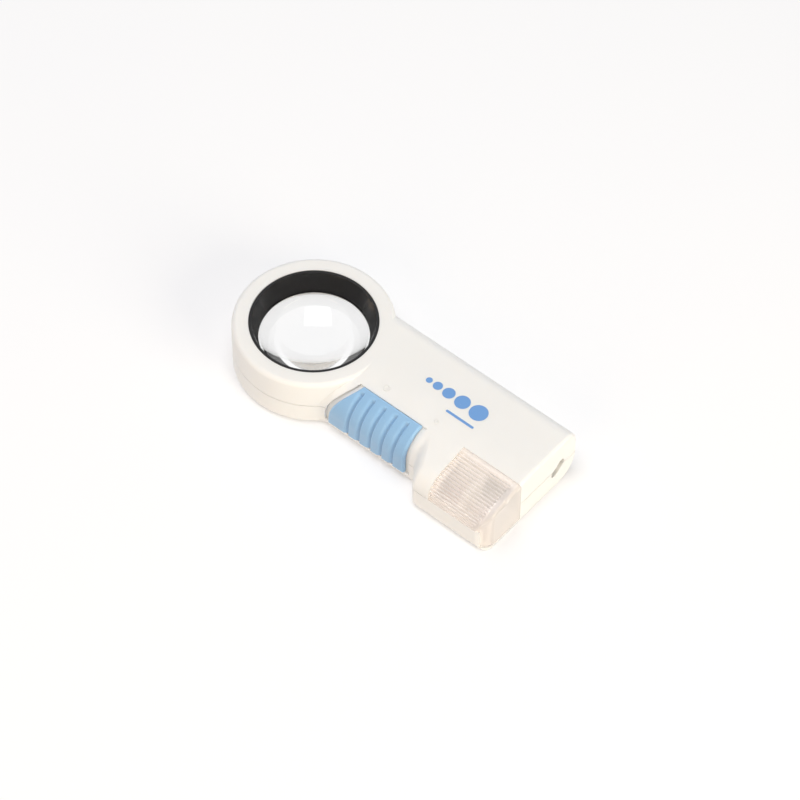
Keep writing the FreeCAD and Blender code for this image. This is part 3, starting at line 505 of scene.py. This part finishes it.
def softbox(name, azimuth, elevation, distance, size, power, colour):
    """Square light on a sphere round the object; azimuth 0 is the +X side, 90 the +Y side."""
    centre = Vector((0.035, 0.0, 0.01))
    a, e = math.radians(azimuth), math.radians(elevation)
    away = Vector((math.cos(a) * math.cos(e), math.sin(a) * math.cos(e), math.sin(e)))
    data = bpy.data.lights.new(name, "AREA")
    data.size, data.energy, data.color = size, power, colour
    light = bpy.data.objects.new(name, data)
    turn = away.to_track_quat("Z", "Y").to_matrix().to_4x4()
    light.matrix_world = Matrix.Translation(centre + away * distance) @ turn
    light.visible_glossy = elevation < LOW_LIGHT_DEG
    bpy.context.scene.collection.objects.link(light)


def make_lights():
    for name, azimuth, elevation, size, power, colour in LIGHTS:
        softbox(name, azimuth, elevation, LIGHT_DISTANCE, size, power, colour)


# ---------------------------------------------------------------- materials
def put(tree, kind, inputs=(), **settings):
    """New node; each input is a value or another node's output."""
    made = tree.nodes.new("ShaderNode" + kind)
    for key, value in settings.items():
        setattr(made, key, value)
    for key, value in dict(inputs).items():
        if isinstance(value, bpy.types.NodeSocket):
            tree.links.new(value, made.inputs[key])
        else:
            made.inputs[key].default_value = value
    return made


def new_group(name, inputs, outputs):
    """Node group with named sockets; inputs are (name, kind, value)."""
    tree = bpy.data.node_groups.new(name, "ShaderNodeTree")
    for label, kind, value in inputs:
        socket = tree.interface.new_socket(label, in_out="INPUT", socket_type="NodeSocket" + kind)
        socket.default_value = value
    for label, kind in outputs:
        tree.interface.new_socket(label, in_out="OUTPUT", socket_type="NodeSocket" + kind)
    return tree, tree.nodes.new("NodeGroupInput").outputs, tree.nodes.new("NodeGroupOutput").inputs


def moulded_group():
    """Fine moulded grain, slow waviness and faint cloudiness in object space."""
    tree, given, out = new_group(
        "moulded_surface",
        [("Grain Size", "Float", 0.0004), ("Grain Depth", "Float", 0.3), ("Waviness", "Float", 0.1)],
        [("Grain", "Float"), ("Cloud", "Float"), ("Normal", "Vector")])
    place = put(tree, "TexCoord").outputs["Object"]
    fine = put(tree, "Math", {0: 1.0, 1: given["Grain Size"]}, operation="DIVIDE").outputs[0]
    grain = put(tree, "TexNoise", {"Vector": place, "Scale": fine, "Detail": 3.0, "Roughness": 0.6})
    cloud = put(tree, "TexNoise", {"Vector": place, "Scale": 55.0, "Detail": 4.0, "Roughness": 0.55})
    wave = put(tree, "TexNoise", {"Vector": place, "Scale": 130.0, "Detail": 1.0})
    low = put(tree, "Bump", {"Strength": given["Waviness"], "Distance": 0.0004,
                             "Height": wave.outputs["Fac"]})
    high = put(tree, "Bump", {"Strength": given["Grain Depth"], "Distance": 0.00004,
                              "Height": grain.outputs["Fac"], "Normal": low.outputs[0]})
    tree.links.new(grain.outputs["Fac"], out["Grain"])
    tree.links.new(cloud.outputs["Fac"], out["Cloud"])
    tree.links.new(high.outputs[0], out["Normal"])
    return tree


def handling_group():
    """Hair scratches and specks from handling, as masks."""
    tree, given, out = new_group(
        "handling_marks",
        [("Scratches", "Float", 0.3), ("Specks", "Float", 0.3)],
        [("Scratch", "Float"), ("Speck", "Float")])
    place = put(tree, "TexCoord").outputs["Object"]
    turned_place = put(tree, "Mapping", {"Vector": place, "Rotation": (0.3, 0.5, 0.6),
                                         "Scale": (900, 35, 400)})
    hair = put(tree, "TexNoise", {"Vector": turned_place.outputs[0], "Scale": 1.0, "Detail": 2.0})
    line = put(tree, "MapRange", {"Value": hair.outputs["Fac"], "From Min": 0.70, "From Max": 0.76})
    patch = put(tree, "TexNoise", {"Vector": place, "Scale": 90.0, "Detail": 2.0})
    where = put(tree, "MapRange", {"Value": patch.outputs["Fac"], "From Min": 0.5, "From Max": 0.62})
    both = put(tree, "Math", {0: line.outputs[0], 1: where.outputs[0]}, operation="MULTIPLY").outputs[0]
    scratch = put(tree, "Math", {0: both, 1: given["Scratches"]}, operation="MULTIPLY").outputs[0]
    dots = put(tree, "TexVoronoi", {"Vector": place, "Scale": 420.0})
    dot = put(tree, "MapRange", {"Value": dots.outputs["Distance"], "From Min": 0.10, "From Max": 0.06})
    speck = put(tree, "Math", {0: dot.outputs[0], 1: given["Specks"]}, operation="MULTIPLY").outputs[0]
    tree.links.new(scratch, out["Scratch"])
    tree.links.new(speck, out["Speck"])
    return tree


def drift_group():
    """Two close colours mixed by a mask, dulled by scratches and specks."""
    tree, given, out = new_group(
        "colour_drift",
        [("Colour", "Color", (0.8, 0.8, 0.8, 1)), ("Other Colour", "Color", (0.7, 0.7, 0.7, 1)),
         ("Worn Colour", "Color", (0.9, 0.9, 0.9, 1)), ("Mask", "Float", 0.5), ("Wear", "Float", 0.0)],
        [("Colour", "Color")])
    spread = put(tree, "MapRange", {"Value": given["Mask"], "From Min": 0.3, "From Max": 0.7})
    mixed = put(tree, "Mix", {0: spread.outputs[0], 6: given["Colour"], 7: given["Other Colour"]},
                data_type="RGBA")
    worn = put(tree, "Mix", {0: given["Wear"], 6: mixed.outputs[2], 7: given["Worn Colour"]},
               data_type="RGBA")
    tree.links.new(worn.outputs[2], out["Colour"])
    return tree


GROUPS = {}


def finish_nodes(tree, colours, grain, marks, rough):
    """Links the shared groups to the material's shader: colour, roughness and normal."""
    if not GROUPS:
        GROUPS.update(moulded=moulded_group(), marks=handling_group(), drift=drift_group())
    surface = put(tree, "Group", node_tree=GROUPS["moulded"])
    for key, value in zip(("Grain Size", "Grain Depth", "Waviness"), grain):
        surface.inputs[key].default_value = value
    worn = put(tree, "Group", node_tree=GROUPS["marks"])
    worn.inputs["Scratches"].default_value, worn.inputs["Specks"].default_value = marks
    wear = put(tree, "Math", {0: worn.outputs["Scratch"], 1: worn.outputs["Speck"]}, operation="MAXIMUM")
    drift = put(tree, "Group", node_tree=GROUPS["drift"])
    for key, colour in zip(("Colour", "Other Colour", "Worn Colour"), colours):
        drift.inputs[key].default_value = (*colour, 1)
    tree.links.new(surface.outputs["Cloud"], drift.inputs["Mask"])
    tree.links.new(wear.outputs[0], drift.inputs["Wear"])
    spread = put(tree, "MapRange", {"Value": surface.outputs["Grain"],
                                    "To Min": rough[0], "To Max": rough[1]})
    dull = put(tree, "Math", {0: wear.outputs[0], 1: 0.25, 2: spread.outputs[0]}, operation="MULTIPLY_ADD")
    return drift.outputs["Colour"], dull.outputs[0], surface.outputs["Normal"]


def material(name, colours, grain, marks, rough, **values):
    """Moulded, printed or plated surface from the shared groups."""
    mat = bpy.data.materials.new(name)
    mat.use_nodes = True
    tree = mat.node_tree
    shader = tree.nodes["Principled BSDF"]
    colour, roughness, normal = finish_nodes(tree, colours, grain, marks, rough)
    tree.links.new(colour, shader.inputs["Base Color"])
    tree.links.new(roughness, shader.inputs["Roughness"])
    tree.links.new(normal, shader.inputs["Normal"])
    for key, value in values.items():
        shader.inputs[key.replace("_", " ")].default_value = value
    return mat


def let_light_through(mat, tint):
    """Shadow and diffuse rays pass the clear piece, tinted, so that what lies behind it is lit."""
    tree = mat.node_tree
    shader, out = tree.nodes["Principled BSDF"], tree.nodes["Material Output"]
    path = put(tree, "LightPath")
    clear = put(tree, "BsdfTransparent", {"Color": (*tint, 1)})
    any_ray = put(tree, "Math", {0: path.outputs["Is Shadow Ray"], 1: path.outputs["Is Diffuse Ray"]},
                  operation="MAXIMUM")
    mix = put(tree, "MixShader", {0: any_ray.outputs[0], 1: shader.outputs[0], 2: clear.outputs[0]})
    tree.links.new(mix.outputs[0], out.inputs["Surface"])


def clear_end(mat, start, rough):
    """Frosted up to start along X and smoother past it."""
    tree = mat.node_tree
    shader = tree.nodes["Principled BSDF"]
    place = put(tree, "SeparateXYZ", {0: put(tree, "TexCoord").outputs["Object"]})
    fine = put(tree, "TexNoise", {"Scale": 900.0, "Detail": 2.0})
    step = put(tree, "MapRange", {"Value": place.outputs["X"], "From Min": start, "From Max": start + 0.0006,
                                  "To Min": rough[0], "To Max": rough[1]})
    mixed = put(tree, "Math", {0: fine.outputs["Fac"], 1: 0.06, 2: step.outputs[0]}, operation="MULTIPLY_ADD")
    tree.links.new(mixed.outputs[0], shader.inputs["Roughness"])


def paint_crown_highlight_groove_shade(mat, low, high):
    """Painted highlight on the crowns and painted shade in the grooves of a ribbed surface: the base colour
    is multiplied paler where the mesh bulges and darker where it dips.
    """
    tree = mat.node_tree
    shader = tree.nodes["Principled BSDF"]
    colour = shader.inputs["Base Color"].links[0].from_socket
    # mesh pointiness picks where the painted highlight and painted shade go
    bend = put(tree, "NewGeometry").outputs["Pointiness"]
    tone = put(tree, "MapRange", {"Value": bend, "From Min": 0.47, "From Max": 0.53,
                                  "To Min": low, "To Max": high})
    grey = put(tree, "CombineColor", {0: tone.outputs[0], 1: tone.outputs[0], 2: tone.outputs[0]})
    mix = put(tree, "Mix", {0: 1.0, 6: colour, 7: grey.outputs[0]}, data_type="RGBA", blend_type="MULTIPLY")
    tree.links.new(mix.outputs[2], shader.inputs["Base Color"])


def coat(piece, mat):
    piece.data.materials.clear()
    piece.data.materials.append(mat)


def coat_all():
    """Finish of every piece: colours, grain, handling marks and range of roughness."""
    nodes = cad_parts
    shell = material("satin_white_abs", ((0.880, 0.870, 0.845), (0.868, 0.856, 0.829), (0.92, 0.91, 0.89)),
                     (0.00035, 0.22, 0.05), (0.18, 0.10), (0.38, 0.50), Subsurface_Weight=0.25,
                     Subsurface_Scale=0.003, Subsurface_Radius=(1.0, 0.9, 0.8), Specular_IOR_Level=0.45)
    inner = material("inner_white_abs", ((0.78, 0.77, 0.74), (0.76, 0.75, 0.72), (0.84, 0.83, 0.8)),
                     (0.0003, 0.25, 0.08), (0.1, 0.1), (0.4, 0.55))
    black = material("gloss_black_ring", ((0.015, 0.015, 0.0165), (0.018, 0.018, 0.0195), (0.05, 0.05, 0.05)),
                     (0.0003, 0.10, 0.10), (0.15, 0.2), (0.16, 0.24), Specular_IOR_Level=0.25)
    grip = material("soft_blue_grip", ((0.272, 0.472, 0.70), (0.260, 0.455, 0.682), (0.38, 0.56, 0.76)),
                    (0.00025, 0.30, 0.10), (0.25, 0.25), (0.30, 0.42), Sheen_Weight=0.2, Sheen_Roughness=0.5)
    ink = material("pale_blue_print", ((0.152, 0.328, 0.655), (0.164, 0.345, 0.68), (0.46, 0.58, 0.8)),
                   (0.0003, 0.3, 0.0), (0.4, 0.2), (0.4, 0.5))
    mirror = material("plated_cup", ((0.88, 0.88, 0.9), (0.84, 0.84, 0.86), (0.7, 0.7, 0.72)),
                      (0.0005, 0.05, 0.25), (0.1, 0.1), (0.07, 0.12), Metallic=1.0)
    brass = material("plated_brass", ((0.75, 0.62, 0.36), (0.68, 0.55, 0.3), (0.5, 0.42, 0.28)),
                     (0.0003, 0.2, 0.1), (0.4, 0.2), (0.2, 0.35), Metallic=1.0)
    steel = material("nickel_steel", ((0.62, 0.62, 0.63), (0.56, 0.56, 0.57), (0.42, 0.41, 0.4)),
                     (0.0003, 0.2, 0.1), (0.4, 0.2), (0.25, 0.4), Metallic=1.0)
    board = material("board_green", ((0.04, 0.2, 0.08), (0.035, 0.17, 0.07), (0.2, 0.3, 0.2)),
                     (0.0004, 0.3, 0.05), (0.2, 0.2), (0.3, 0.45))
    lacquer = material("resistor_tan", ((0.55, 0.44, 0.28), (0.5, 0.4, 0.25), (0.6, 0.5, 0.4)),
                       (0.0003, 0.2, 0.1), (0.1, 0.1), (0.3, 0.45))
    sleeve = material("cell_sleeve", ((0.05, 0.052, 0.058), (0.06, 0.06, 0.066), (0.3, 0.3, 0.3)),
                      (0.0003, 0.1, 0.2), (0.5, 0.3), (0.25, 0.35))
    wire = material("red_insulation", ((0.55, 0.03, 0.025), (0.5, 0.03, 0.02), (0.6, 0.2, 0.2)),
                    (0.0003, 0.2, 0.2), (0.1, 0.1), (0.35, 0.45))
    glass = material("clear_acrylic_lens", ((1, 1, 1), (0.99, 0.995, 1), (0.95, 0.95, 0.95)),
                     (0.002, 0.01, 0.02), (0.02, 0.02), (0.0, 0.02), Transmission_Weight=1.0, IOR=1.49)
    cap = material("clear_fluted_cap", ((0.97, 0.925, 0.90), (0.965, 0.91, 0.885), (0.88, 0.85, 0.83)),
                   (0.0006, 0.05, 0.1), (0.1, 0.1), (0.10, 0.18), Transmission_Weight=0.60, IOR=1.46)
    bulb = material("clear_lamp_resin", ((0.98, 0.98, 1), (0.96, 0.96, 0.98), (0.9, 0.9, 0.9)),
                    (0.0006, 0.05, 0.1), (0.05, 0.05), (0.03, 0.08), Transmission_Weight=0.9, IOR=1.5)
    # painted highlight on the pad's crowns and painted shade in its grooves
    paint_crown_highlight_groove_shade(grip, 0.82, 1.22)
    clear_end(cap, CAP_SMOOTH_X * MM, (0.24, 0.08))
    let_light_through(glass, (0.99, 0.985, 0.975))
    let_light_through(cap, (0.9, 0.88, 0.86))
    let_light_through(bulb, (0.9, 0.9, 0.92))
    finishes = {
        shell: ("upper_shell", "lower_shell", "battery_door", "strap_bar"),
        inner: ("led_holder", "switch_carrier"),
        black: ("lens_retainer", "reading_led_sleeve"), brass: ("switch_wiper", "switch_contacts"),
        steel: ("detent_spring", "positive_contact", "negative_contact", "bridge_contact",
                "battery_springs", "shell_screws"),
        board: ("circuit_board",), lacquer: ("resistors",), sleeve: ("battery_1", "battery_2"),
        wire: ("reading_led_wires", "flashlight_led_wires"), bulb: ("flashlight_led", "reading_led")}
    for mat, names in finishes.items():
        for name in names:
            coat(nodes[name], mat)
    for piece, mat in ((make_lens(), glass), (make_bezel(), black), (make_grip_pad(), grip),
                       (make_lamp_cover(), cap), (make_reflector(), mirror), (make_print(), ink),
                       (raised_ring("lens_symbol", LENS_SYMBOL_X, LENS_SYMBOL_R), shell),
                       (raised_ring("lamp_symbol", LAMP_SYMBOL_X, LAMP_SYMBOL_R), shell)):
        coat(piece, mat)


aim_camera()
make_stage()
make_world()
make_lights()
coat_all()

bpy.context.scene.view_settings.view_transform = "Standard"
